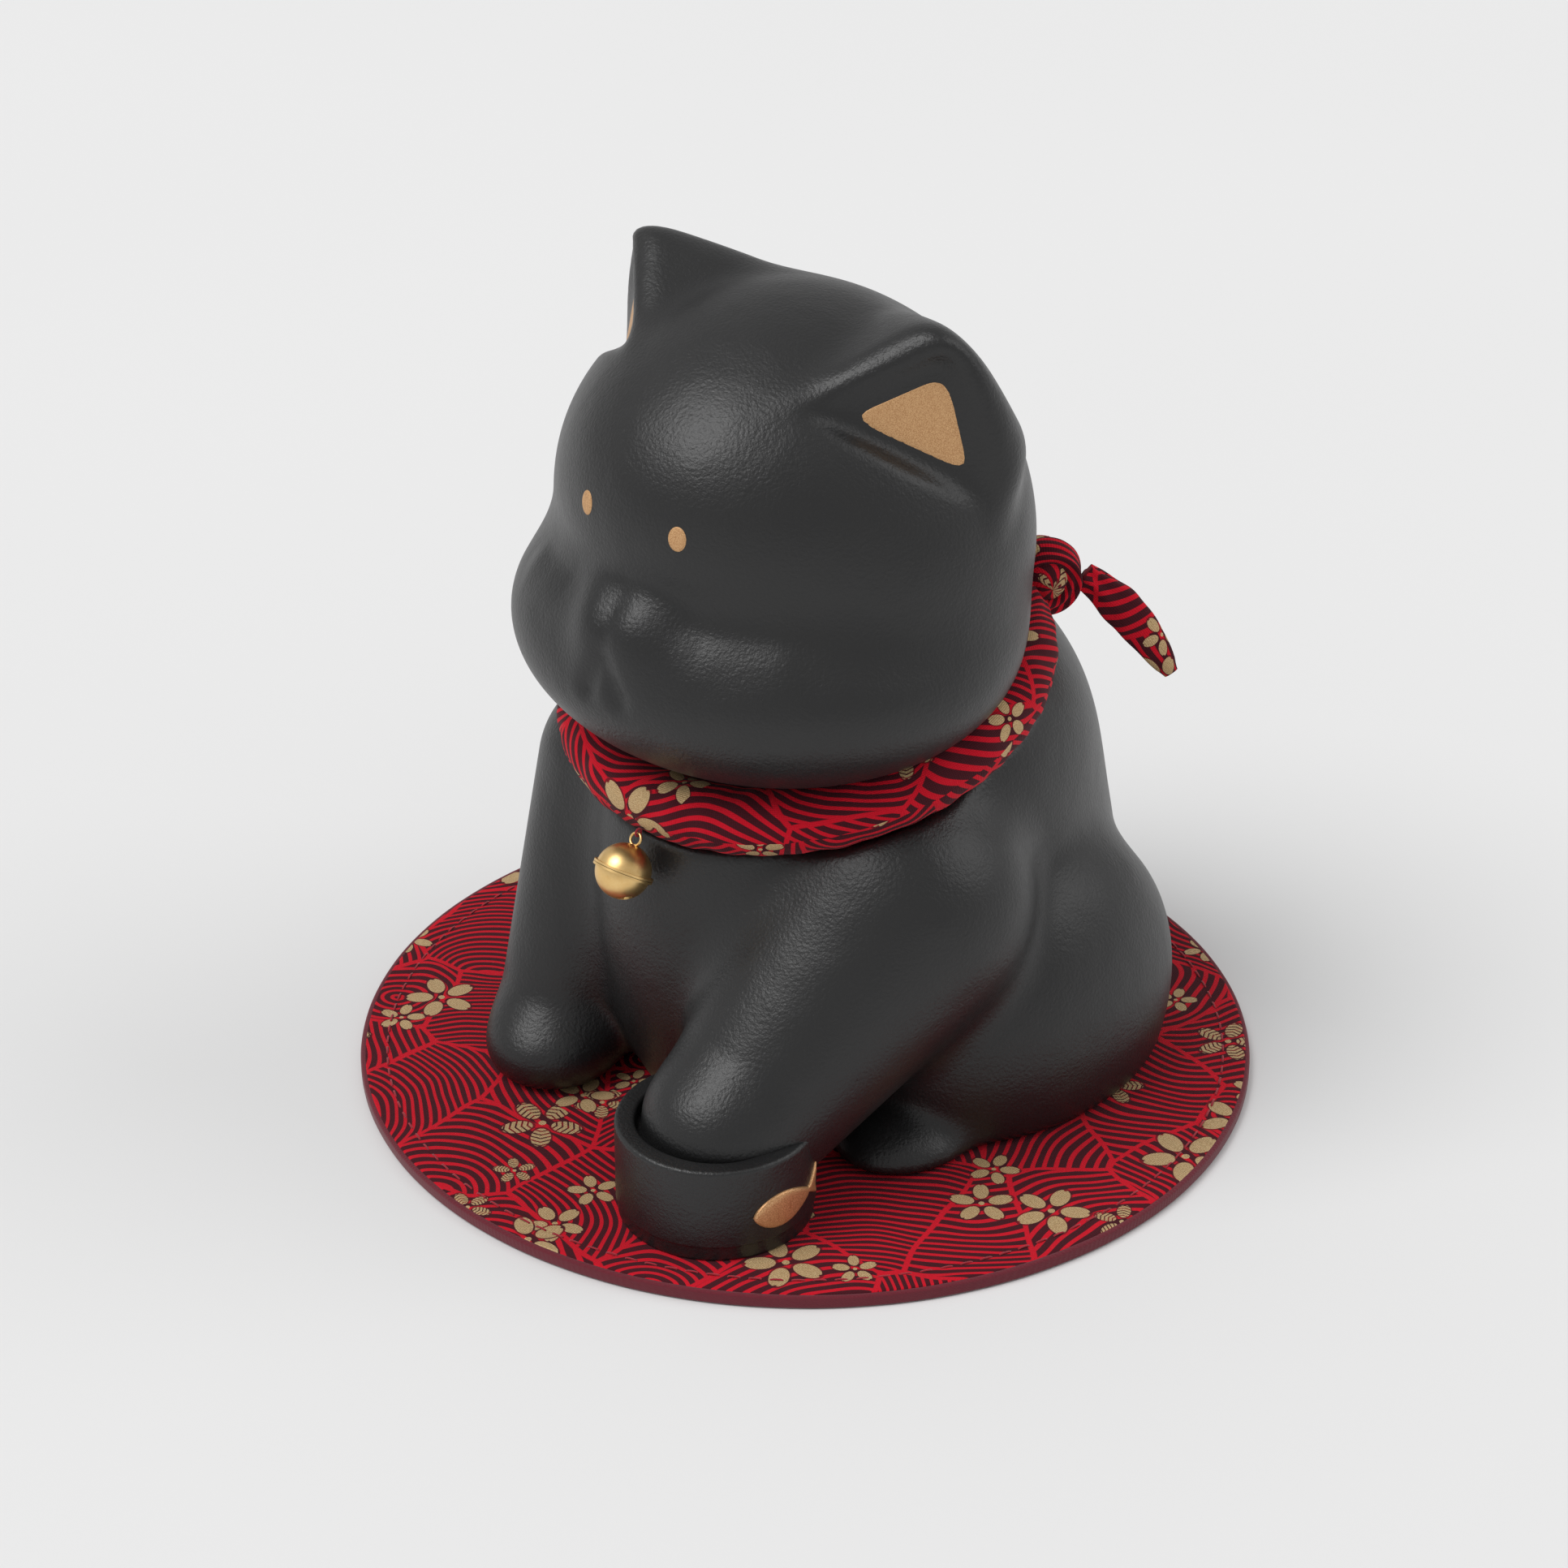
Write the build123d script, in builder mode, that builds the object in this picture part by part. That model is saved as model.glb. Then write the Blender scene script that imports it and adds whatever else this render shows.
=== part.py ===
"""Seated cat keepsake figurine on a round padded mat, with a knotted cloth collar and a jingle bell.

Millimetres. The origin is the centre of the mat's underside, +Z is up, the cat faces -Y and its own
left side is +X. The cat is one hollow ceramic casting that lifts off the mat; its filling hole and
stopper are in the flat base. The left fore paw stands in an open tin can with a fish in relief.
"""
import os
from math import cos, radians, sin, sqrt

from build123d import *

# ---- driving dimensions ----
# round mat
mat_radius = 100.0
backing_thick = 0.8
core_thick = 1.4
top_cloth_thick = 0.8
mat_thick = backing_thick + core_thick + top_cloth_thick
binding_wide = 1.2
stitch_ring_radius = 94.0
stitch_count = 132
stitch_long = 2.8
stitch_wide = 0.5
stitch_high = 0.3

# ceramic casting
wall = 5.0
base_z = mat_thick
floor_thick = 5.0
gap = 0.3

# collar ring round the neck, lower in front
collar_centre = (0.0, 0.0, 96.0)
collar_tilt = 16.0
collar_ring_radius = 47.5
collar_tube_radius = 7.3
cover_thick = 0.7

# can under the left fore paw
can_centre = (30.5, -62.5)
can_radius = 21.2
can_top = 25.5
can_rim_wide = 4.4
can_recess_deep = 2.6
can_foot_high = 3.6
can_foot_inset = 0.4

# fish in relief on the can's left side
fish_bearing = 92.0
fish_mid_z = 13.2
fish_long = 20.5
fish_high = 7.4
fish_proud = 0.7

# eyes
eye_x = 12.2
eye_y = -52.4
eye_z = 151.0
eye_radii = (2.0, 1.1, 2.6)

# filling hole in the base, and its stopper
hole_centre = (0.0, 24.0)
hole_radius = 20.0
seat_radius = 24.0
seat_deep = 2.6
stopper_flange_thick = 2.0
stopper_plug_high = 6.0
stopper_grip_radius = 10.0
stopper_grip_deep = 3.0

# 12 mm jingle bell
bell_radius = 6.0
bell_wall = 0.5
bell_centre = (0.0, -57.4, 71.0)
bell_lean = 33.0
band_proud = 0.6
band_half_high = 0.55
band_seam = 0.05
slot_wide = 1.0
slot_end_radius = 1.1
slot_half_long = 3.4
loop_radius = 1.35
loop_wire = 0.3
loop_offset = 7.2
thread_radius = 0.8
thread_wire = 0.28
thread_offset = 8.7
pellet_radius = 1.5

# knot and tails at the back of the collar
knot_centre = (28.0, 46.0, 112.0)
knot_radii = (9.0, 8.0, 8.0)
tail_thick = 3.0
tail_wide = 9.0
tail_left_root = (35.5, 52.0, 110.0)
tail_left_tip = (52.0, 63.0, 89.0)
tail_right_root = (22.0, 54.5, 111.5)
tail_right_tip = (7.0, 70.0, 91.0)

# ---- forms of the casting: (centre, radii) of each rounded mass ----
torso_forms = [
    ((0, 22, 34), (54, 57, 76)),
    ((0, 12, 79), (51, 49, 36)),
    ((0, -16, 50), (36, 35, 62)),
]
paired_body_forms = [
    ((43, 24, 22), (28, 42, 42)),
    ((44, -16, 4), (15, 20, 10)),
]
paw_forms = [
    ((-33, -46, 10), (15, 16, 11)),
    ((31, -63, 25), (16, 16, 13)),
]
head_forms = [
    ((0, -4, 134.5), (54, 46, 51)),
    ((0, -20, 150), (34, 35, 27)),
    ((0, -13, 114), (57, 50, 29)),
]
muzzle_form = ((0, -51.5, 126.5), (11, 10.5, 8.5))
cheek_form = ((21.5, -43.5, 120.5), (19, 14.5, 11.5))

# fore legs: top, bottom, radius at the top, radius at the bottom
right_leg = ((-34, -18, 68), (-36, -38, 16), 21.5, 15)
left_leg = ((36, -12, 58), (31, -57, 22), 30, 17.5)

# ear on the left: the three corners of its opening, and how far it runs into the head
ear_front = (25.5, -25.5, 174.5)
ear_tip = (43.2, -5.5, 191.2)
ear_outer = (51.5, 4.0, 155.0)
ear_depth = 24.0
ear_taper = 14.0
dish_scale = 0.66
dish_deep = 3.0
ear_backing_radius = 15.0
gilding_scale = 0.46
gilding_thick = 0.35

def ellipsoid(centre, radii):
    """A closed ellipsoid standing at centre."""
    return Location(centre) * scale(Solid.make_sphere(1), by=radii, mode=Mode.PRIVATE)


def hollow(centre, radii):
    """The inside of a rounded mass, one wall thickness in."""
    return ellipsoid(centre, tuple(radius - wall for radius in radii))


def tapered_limb(top, bottom, top_radius, bottom_radius):
    """A straight limb of round section with rounded ends."""
    run = Vector(*bottom) - Vector(*top)
    shaft = Solid.make_cone(top_radius, bottom_radius, run.length, Plane(origin=top, z_dir=run))
    knob = Location(bottom) * Solid.make_sphere(bottom_radius)
    shoulder = Location(top) * Solid.make_sphere(top_radius)
    return [shaft, knob, shoulder]


def mirrored(solid):
    """The same solid on the other side of the middle plane."""
    return solid.mirror(Plane.YZ)


def ring(centre, tilt, ring_radius, tube_radius):
    """A torus whose plane is tilted by tilt degrees, with its front the low side."""
    lean = Plane(origin=centre, x_dir=(1, 0, 0), z_dir=(0, -sin(radians(tilt)), cos(radians(tilt))))
    return Solid.make_torus(ring_radius, tube_radius, lean)


# ---- mat ----
with BuildPart() as mat_backing:
    Cylinder(mat_radius - binding_wide, backing_thick, align=(Align.CENTER, Align.CENTER, Align.MIN))
mat_backing.part.label = "mat_backing"

with BuildPart() as mat_core:
    with Locations((0, 0, backing_thick)):
        Cylinder(mat_radius - binding_wide, core_thick, align=(Align.CENTER, Align.CENTER, Align.MIN))
mat_core.part.label = "mat_core"

with BuildPart() as mat_top_cloth:
    with BuildSketch(Plane.XY.offset(backing_thick + core_thick)):
        Circle(mat_radius)
    extrude(amount=top_cloth_thick)
    fillet(mat_top_cloth.edges().group_by(Axis.Z)[-1], 0.35)
mat_top_cloth.part.label = "mat_top_cloth"

with BuildPart() as mat_edge_binding:
    with BuildSketch():
        Circle(mat_radius)
        Circle(mat_radius - binding_wide, mode=Mode.SUBTRACT)
    extrude(amount=backing_thick + core_thick)
    fillet(mat_edge_binding.edges().group_by(Axis.Z)[0].sort_by(SortBy.LENGTH)[-1], 0.4)
mat_edge_binding.part.label = "mat_edge_binding"

with BuildPart() as mat_topstitch:
    with BuildSketch(Plane.XY.offset(mat_thick)):
        with PolarLocations(stitch_ring_radius, stitch_count):
            Rectangle(stitch_wide, stitch_long)
    extrude(amount=stitch_high)
mat_topstitch.part.label = "mat_topstitch"

# ---- ceramic casting ----
ear_corners = [Vector(*corner) for corner in (ear_front, ear_tip, ear_outer)]
ear_middle = (ear_corners[0] + ear_corners[1] + ear_corners[2]) * (1 / 3)
ear_normal = (ear_corners[2] - ear_corners[0]).cross(ear_corners[1] - ear_corners[0]).normalized()
if ear_normal.X < 0:
    ear_normal = ear_normal * -1
ear_plane = Plane(origin=ear_middle, x_dir=ear_corners[1] - ear_corners[0], z_dir=ear_normal)
ear_outline = [ear_plane.to_local_coords(corner) for corner in ear_corners]


def ear_triangle(size):
    """Corner points of the ear's opening, scaled about its middle."""
    return [(corner.X * size, corner.Y * size) for corner in ear_outline]


with BuildPart() as ear_wedge:
    with BuildSketch(ear_plane):
        Polygon(*ear_triangle(1.12), align=None)
        fillet(vertices(), 5)
    extrude(amount=-ear_depth, taper=ear_taper)

with BuildPart() as ear_dish:
    with BuildSketch(ear_plane):
        Polygon(*ear_triangle(dish_scale), align=None)
        fillet(vertices(), 3)
    extrude(amount=20)
    extrude(ear_dish.faces().sort_by(Axis(ear_middle, ear_normal))[0], amount=dish_deep)

with BuildPart() as ear_gilding_left:
    with BuildSketch(ear_plane.offset(-dish_deep)):
        Polygon(*ear_triangle(gilding_scale), align=None)
        fillet(vertices(), 2.2)
    extrude(amount=gilding_thick)
ear_gilding_left.part.label = "ear_gilding_left"

with BuildPart() as ear_gilding_right:
    mirror(ear_gilding_left.part, about=Plane.YZ)
ear_gilding_right.part.label = "ear_gilding_right"

left_leg_solids = tapered_limb(*left_leg)
casting_solids = [ellipsoid(*form) for form in torso_forms + paw_forms + head_forms + [muzzle_form]]
casting_solids += tapered_limb(*right_leg) + left_leg_solids
for form in paired_body_forms + [cheek_form]:
    lump = ellipsoid(*form)
    casting_solids += [lump, mirrored(lump)]
casting_solids += [ear_wedge.part, mirrored(ear_wedge.part)]

collar_groove = ring(collar_centre, collar_tilt, collar_ring_radius, collar_tube_radius + gap)
neck_wall = ring(collar_centre, collar_tilt, collar_ring_radius, collar_tube_radius + wall)
cavity_solids = [hollow(*form) for form in torso_forms + head_forms]
for form in paired_body_forms[:1]:
    lump = hollow(*form)
    cavity_solids += [lump, mirrored(lump)]

ear_backing = Location(ear_middle) * Solid.make_sphere(ear_backing_radius)

with BuildPart() as cavity:
    add(cavity_solids)
    with Locations((0, 0, base_z + floor_thick)):
        Box(200, 200, 200, align=(Align.CENTER, Align.CENTER, Align.MIN), mode=Mode.INTERSECT)
    add(neck_wall, mode=Mode.SUBTRACT)
    add([ear_backing, mirrored(ear_backing)], mode=Mode.SUBTRACT)

with BuildPart() as cat_shell:
    add(casting_solids)
    with Locations((0, 0, base_z)):
        Box(400, 400, 400, align=(Align.CENTER, Align.CENTER, Align.MIN), mode=Mode.INTERSECT)
    add([ear_dish.part, mirrored(ear_dish.part)], mode=Mode.SUBTRACT)
    add(collar_groove, mode=Mode.SUBTRACT)
    add(cavity.part, mode=Mode.SUBTRACT)
    with BuildSketch(Plane.XY.offset(base_z)):
        with Locations(hole_centre):
            Circle(hole_radius)
    extrude(amount=floor_thick + 2, mode=Mode.SUBTRACT)
    with BuildSketch(Plane.XY.offset(base_z)):
        with Locations(hole_centre):
            Circle(seat_radius)
    extrude(amount=seat_deep, mode=Mode.SUBTRACT)
cat_shell.part.label = "cat_shell"

# painted eyes, standing just proud of the face
eye_left_block = ellipsoid((eye_x, eye_y, eye_z), eye_radii)
with BuildPart() as eye_left:
    add(eye_left_block)
    add(cat_shell.part, mode=Mode.SUBTRACT)
eye_left.part.label = "eye_left"

with BuildPart() as eye_right:
    add(mirrored(eye_left_block))
    add(cat_shell.part, mode=Mode.SUBTRACT)
eye_right.part.label = "eye_right"

# ---- tin can and its fish ----
can_plane = Plane(origin=(can_centre[0], can_centre[1], base_z))
can_high = can_top - base_z
left_paw = ellipsoid(*paw_forms[1])

with BuildPart() as tin_can:
    with BuildSketch(can_plane):
        Circle(can_radius - can_foot_inset)
    extrude(amount=can_foot_high)
    with BuildSketch(can_plane.offset(can_foot_high)):
        Circle(can_radius)
    extrude(amount=can_high - can_foot_high)
    rim_edge = tin_can.edges().group_by(Axis.Z)[-1]
    fillet(rim_edge, 0.8)
    with BuildSketch(can_plane.offset(can_high)):
        Circle(can_radius - can_rim_wide)
    extrude(amount=-can_recess_deep, mode=Mode.SUBTRACT)
    add(left_paw, mode=Mode.SUBTRACT)
    add(left_leg_solids, mode=Mode.SUBTRACT)
tin_can.part.label = "tin_can"

fish_turn = radians(fish_bearing)
fish_out = (sin(fish_turn), -cos(fish_turn), 0)
fish_back = (cos(fish_turn), sin(fish_turn), 0)
fish_plane = Plane(origin=(can_centre[0], can_centre[1], fish_mid_z), x_dir=fish_back, z_dir=fish_out)
body_end = fish_long * 0.28
tail_end = fish_long * 0.5

with BuildPart() as fish_relief:
    with BuildSketch(fish_plane):
        with BuildLine():
            nose = (-fish_long / 2, 0)
            root_top = (body_end, fish_high * 0.13)
            root_bottom = (body_end, -fish_high * 0.13)
            Spline(nose, (-fish_long * 0.12, fish_high / 2), root_top, tangents=((0.1, 1), (1, -0.25)))
            Spline(root_top, (tail_end, fish_high * 0.52), tangents=((1, 0.1), (0.35, 1)))
            Line((tail_end, fish_high * 0.52), (tail_end, -fish_high * 0.42))
            Spline((tail_end, -fish_high * 0.42), root_bottom, tangents=((-0.6, 0.8), (-1, 0.1)))
            Spline(root_bottom, (-fish_long * 0.12, -fish_high / 2), nose, tangents=((-1, -0.25), (-0.1, 1)))
        make_face()
    extrude(amount=can_radius + 5)
    with BuildSketch(can_plane):
        Circle(can_radius + fish_proud)
        Circle(can_radius, mode=Mode.SUBTRACT)
    extrude(amount=can_high, mode=Mode.INTERSECT)
fish_relief.part.label = "fish_relief"

# ---- stopper in the base, drawn downwards ----
stopper_plane = Plane(origin=(hole_centre[0], hole_centre[1], base_z + gap))
with BuildPart() as base_stopper:
    with BuildSketch(stopper_plane):
        Circle(seat_radius - gap)
    extrude(amount=stopper_flange_thick)
    with BuildSketch(stopper_plane.offset(stopper_flange_thick)):
        Circle(hole_radius - gap)
    extrude(amount=stopper_plug_high)
    chamfer(base_stopper.edges().group_by(Axis.Z)[-1], 1.0)
    with BuildSketch(stopper_plane):
        Circle(stopper_grip_radius)
        Rectangle(3.0, 2 * stopper_grip_radius, mode=Mode.SUBTRACT)
    extrude(amount=stopper_grip_deep, mode=Mode.SUBTRACT)
base_stopper.part.label = "base_stopper"

# ---- collar: a wadded cloth tube, knotted behind, with two free tails ----
collar_tube = ring(collar_centre, collar_tilt, collar_ring_radius, collar_tube_radius)
collar_fill = ring(collar_centre, collar_tilt, collar_ring_radius, collar_tube_radius - cover_thick)

with BuildPart() as collar_cover:
    add(collar_tube)
    add(collar_fill, mode=Mode.SUBTRACT)
collar_cover.part.label = "collar_cover"

with BuildPart() as collar_wadding:
    add(collar_fill)
collar_wadding.part.label = "collar_wadding"

knot_form = ellipsoid(knot_centre, knot_radii)
with BuildPart() as collar_knot:
    add(knot_form)
    add(collar_tube, mode=Mode.SUBTRACT)
collar_knot.part.label = "collar_knot"


def tail_solid(root, tip):
    """A flat padded tail: narrow where it leaves the knot, widest a third of the way down, blunt tip."""
    run = Vector(*tip) - Vector(*root)
    face_on = Vector(0, 0, 1).cross(run).normalized()
    sections = []
    for along, wide in ((0.0, 0.55), (0.35, 1.0), (0.75, 0.8), (1.0, 0.3)):
        place = Vector(*root) + run * along
        section = Plane(origin=place, x_dir=face_on.cross(run), z_dir=run)
        sections.append(section * Ellipse(tail_wide * wide / 2 + 0.6, tail_thick / 2))
    return loft(sections)


knot_block = [knot_form, collar_tube]
tail_left_block = tail_solid(tail_left_root, tail_left_tip)
tail_right_block = tail_solid(tail_right_root, tail_right_tip)

with BuildPart() as collar_tail_left:
    add(tail_left_block)
    add(knot_block, mode=Mode.SUBTRACT)
collar_tail_left.part.label = "collar_tail_left"

with BuildPart() as collar_tail_right:
    add(tail_right_block)
    add(knot_block, mode=Mode.SUBTRACT)
collar_tail_right.part.label = "collar_tail_right"

# ---- jingle bell on a thread loop under the front of the collar ----
bell_up = Vector(0, sin(radians(bell_lean)), cos(radians(bell_lean)))
bell_origin = Vector(*bell_centre)
bell_axis = Axis(bell_origin, bell_up)
bell_section = Plane(origin=bell_origin, x_dir=(1, 0, 0), z_dir=Vector(1, 0, 0).cross(bell_up))
bell_base = Plane(origin=bell_origin, x_dir=(1, 0, 0), z_dir=bell_up)


def half_shell(side):
    """Section of one half of the bell, side +1 above the seam and -1 below it, with its band."""
    inner = bell_radius - bell_wall
    seam = side * band_seam
    with BuildSketch(bell_section) as section:
        with BuildLine():
            outer_edge = sqrt(bell_radius**2 - band_seam**2)
            inner_edge = sqrt(inner**2 - band_seam**2)
            middle = sin(radians(45))
            Line((inner_edge, seam), (outer_edge, seam))
            ThreePointArc(
                (outer_edge, seam),
                (bell_radius * middle, side * bell_radius * middle),
                (0, side * bell_radius),
            )
            Line((0, side * bell_radius), (0, side * inner))
            ThreePointArc((0, side * inner), (inner * middle, side * inner * middle), (inner_edge, seam))
        make_face()
        with Locations((bell_radius + band_proud / 2 - 0.1, side * (band_half_high + band_seam) / 2)):
            Rectangle(band_proud + 0.2, band_half_high - band_seam)
    return section.sketch


upper_section = half_shell(1)
lower_section = half_shell(-1)

with BuildPart() as bell_upper_shell:
    add(upper_section)
    revolve(axis=bell_axis)
bell_upper_shell.part.label = "bell_upper_shell"

with BuildPart() as bell_lower_shell:
    add(lower_section)
    revolve(axis=bell_axis)
    with BuildSketch(bell_base):
        Rectangle(2 * slot_half_long, slot_wide)
        with Locations((-slot_half_long, 0), (slot_half_long, 0)):
            Circle(slot_end_radius)
    extrude(amount=-2 * bell_radius, mode=Mode.SUBTRACT)
bell_lower_shell.part.label = "bell_lower_shell"

loop_middle = bell_origin + bell_up * loop_offset
loop_plane = Plane(origin=loop_middle, x_dir=(1, 0, 0), z_dir=bell_section.z_dir)
with BuildPart() as bell_loop:
    add(Solid.make_torus(loop_radius, loop_wire, loop_plane))
    add(bell_upper_shell.part, mode=Mode.SUBTRACT)
bell_loop.part.label = "bell_loop"

thread_middle = bell_origin + bell_up * thread_offset
thread_plane = Plane(origin=thread_middle, x_dir=bell_up, z_dir=(1, 0, 0))
with BuildPart() as bell_thread:
    add(Solid.make_torus(thread_radius, thread_wire, thread_plane))
bell_thread.part.label = "bell_thread"

pellet_middle = bell_origin - bell_up * (bell_radius - bell_wall - pellet_radius - 0.1)
with BuildPart() as bell_pellet:
    add(Location(pellet_middle) * Solid.make_sphere(pellet_radius))
bell_pellet.part.label = "bell_pellet"

# ---- write every piece ----
pieces = [
    mat_backing, mat_core, mat_top_cloth, mat_edge_binding, mat_topstitch,
    cat_shell, tin_can, fish_relief, eye_left, eye_right, ear_gilding_left, ear_gilding_right,
    base_stopper, collar_cover, collar_wadding, collar_knot, collar_tail_left, collar_tail_right,
    bell_thread, bell_loop, bell_upper_shell, bell_lower_shell, bell_pellet,
]
os.makedirs("parts", exist_ok=True)
for piece in pieces:
    export_step(piece.part, f"parts/{piece.part.label}.step")
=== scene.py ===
"""The looks of a seated cat keepsake on a printed mat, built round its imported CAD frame.

Everything stands in the CAD frame: the mat's underside is at z 0, the cat faces -Y and its own left
is +X. Forms are worked in millimetres and scaled to metres once, when their mesh is made.
"""
from math import atan2, cos, pi, radians, sin

import bmesh
import bpy
import numpy as np
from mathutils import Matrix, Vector


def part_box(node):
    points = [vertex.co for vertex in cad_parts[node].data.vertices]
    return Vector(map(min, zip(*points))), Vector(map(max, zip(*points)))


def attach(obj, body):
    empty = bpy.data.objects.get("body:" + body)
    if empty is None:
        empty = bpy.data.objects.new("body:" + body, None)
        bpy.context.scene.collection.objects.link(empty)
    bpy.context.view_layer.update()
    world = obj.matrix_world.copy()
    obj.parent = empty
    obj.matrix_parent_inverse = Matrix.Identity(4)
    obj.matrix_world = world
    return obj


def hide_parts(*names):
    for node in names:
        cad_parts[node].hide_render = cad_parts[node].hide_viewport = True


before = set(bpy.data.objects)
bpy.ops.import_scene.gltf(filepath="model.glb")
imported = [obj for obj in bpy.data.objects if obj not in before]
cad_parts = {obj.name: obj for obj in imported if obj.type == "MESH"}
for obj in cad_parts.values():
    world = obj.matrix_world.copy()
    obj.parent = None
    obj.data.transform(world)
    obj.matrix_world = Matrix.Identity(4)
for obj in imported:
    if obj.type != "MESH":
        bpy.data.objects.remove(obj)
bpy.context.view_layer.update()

MM = 0.001
FULL_TURN = 2 * pi


# ---- what the frame says ----
def middle(node):
    """The middle of a CAD node's box, in mm."""
    low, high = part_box(node)
    return np.array((low + high) / 2) / MM


def top(node):
    """The highest corner of a CAD node's box, in mm."""
    return np.array(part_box(node)[1]) / MM


def extent(node):
    """The sides of a CAD node's box, in mm."""
    low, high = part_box(node)
    return np.array(high - low) / MM


mat_radius = extent("mat_top_cloth")[0] / 2
mat_top = top("mat_top_cloth")[2]
can_middle = middle("tin_can")
can_radius = extent("tin_can")[0] / 2
can_top = top("tin_can")[2]
collar_middle = middle("collar_cover")
collar_tube = 7.3
collar_ring = extent("collar_cover")[0] / 2 - collar_tube
collar_tilt = radians(16)
knot_middle = middle("collar_knot")
bell_lean = radians(33)

# rounded masses that both the outside and the cavity follow: (middle, radii)
torso = ((0, 22, 34), (54, 57, 76))
shoulders = ((0, 12, 79), (51, 49, 36))
skull = ((0, -4, 134.5), (54, 46, 51))
# clearances between the casting and what lies against it
collar_gap = 0.3
mat_gap = 0.2


# ---- form of the casting: distances in mm, negative inside ----
def ellipsoid(points, centre, radii):
    offset = points - np.array(centre, np.float32)
    radii = np.array(radii, np.float32)
    near = np.linalg.norm(offset / radii, axis=-1)
    steep = np.linalg.norm(offset / radii**2, axis=-1)
    return near * (near - 1) / np.maximum(steep, 1e-9)


def limb(points, start, end, start_radius, end_radius):
    """A round limb that tapers from one radius to another."""
    start, end = (np.array(v, np.float32) for v in (start, end))
    run = end - start
    square = run @ run
    taper = start_radius - end_radius
    slope = square - taper * taper
    offset = points - start
    along = offset @ run
    beyond = along - square
    across = ((offset * square - along[..., None] * run) ** 2).sum(-1)
    side = np.sign(taper) * taper * taper * across
    at_end = np.sign(beyond) * slope * beyond * beyond * square > side
    at_start = np.sign(along) * slope * along * along * square < side
    distance = (np.sqrt(across * slope / square) + along * taper) / square - start_radius
    distance = np.where(at_start, np.sqrt(across + along**2 * square) / square - start_radius, distance)
    return np.where(at_end, np.sqrt(across + beyond**2 * square) / square - end_radius, distance)


def ring(points, tube_radius):
    """The collar's ring, which is lower in front."""
    offset = points - collar_middle.astype(np.float32)
    forward = offset[..., 1] * cos(collar_tilt) + offset[..., 2] * sin(collar_tilt)
    upward = offset[..., 2] * cos(collar_tilt) - offset[..., 1] * sin(collar_tilt)
    return np.hypot(np.hypot(offset[..., 0], forward) - collar_ring, upward) - tube_radius


def join(first, second, softness):
    overlap = np.maximum(softness - np.abs(first - second), 0) / softness
    return np.minimum(first, second) - overlap**2 * softness / 4


def cut(body, tool, softness):
    return -join(-body, tool, softness)


def meet(first, second, softness):
    return -join(-first, -second, softness)


def above(points, place, normal):
    """Distance above a plane through a place."""
    return (points - np.array(place)).astype(np.float32) @ np.array(normal, np.float32)


def square_to(line, normal):
    """The direction square to a line and a normal."""
    direction = np.cross(line, normal)
    return direction / np.linalg.norm(direction)


ear_tip = np.array((43.5, -5.5, 190.8))
ear_front = np.array((24.0, -27.0, 176.0))
ear_ridge = np.array((53.0, 2.5, 171.0))
ear_face = square_to(ear_ridge - ear_front, ear_tip - ear_front)
dish_face = np.array((0.736, -0.646, 0.2))
dish_deep = 3.4
dish_front = np.array((25.5, -27.0, 174.6))
dish_tip = np.array((43.4, -4.0, 186.0))
dish_foot = np.array((51.0, 2.0, 160.0))
temple_start = np.array((26.0, -28.0, 173.0))
temple_face = (-0.077, -0.581, -0.813)
ear_top_face = (-0.37, -0.28, 0.886)
ear_back_face = (0, 0.6, 0.8)
ear_outer_face = (0.9988, 0, 0.05)
ear_corner_face = (0.445, 0.761, 0.469)
ear_under_face = (0.602, 0.622, -0.502)
# how far the top and back pass the tip, which the rounding between them takes back
past_tip = 2.2


def ear(mirrored):
    """A wedge between planes: its face, top, back, outer side, outer corner, underside and temple."""
    wedge = above(mirrored, ear_tip, ear_face) - 0.8
    wedge = meet(wedge, above(mirrored, ear_tip, ear_top_face) - past_tip, 8)
    wedge = meet(wedge, above(mirrored, ear_tip, ear_back_face) - past_tip, 7)
    wedge = meet(wedge, above(mirrored, ear_ridge, ear_outer_face), 4)
    wedge = meet(wedge, above(mirrored, (46.5, -3, 190), ear_corner_face), 8)
    wedge = meet(wedge, above(mirrored, (52, 7, 150), ear_under_face), 8)
    return meet(wedge, above(mirrored, (26, -30.5, 169.5), temple_face), 2)


def ear_dish(mirrored):
    """What is scooped out of the ear's face, between its rim and the temple."""
    upward = square_to(dish_tip - dish_front, -dish_face)
    outward = square_to(dish_foot - dish_tip, -dish_face)
    dish = meet(-above(mirrored, ear_tip, dish_face) - dish_deep, above(mirrored, dish_front, upward), 4)
    dish = meet(dish, above(mirrored, dish_tip, outward), 7)
    return meet(dish, above(mirrored, temple_start, temple_face), 5)


def head(points, mirrored):
    form = ellipsoid(points, *skull)
    form = join(form, ellipsoid(points, (0, -20, 150), (33, 33, 26)), 16)
    form = join(form, ear(mirrored), 3)
    form = cut(form, ear_dish(mirrored), 2.5)
    form = join(form, ellipsoid(points, (0, -13, 114), (57, 50, 29)), 8)
    form = join(form, limb(mirrored, (14, -47, 120.5), (29, -40, 121), 11.5, 10.5), 2)
    form = join(form, ellipsoid(mirrored, (3.5, -51.5, 126.5), (8.5, 10, 8.5)), 8)
    mouth = limb(mirrored, (0, -63.6, 123), (4.5, -62.9, 115), 1.0, 0.6)
    return cut(form, mouth, 4)


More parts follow.
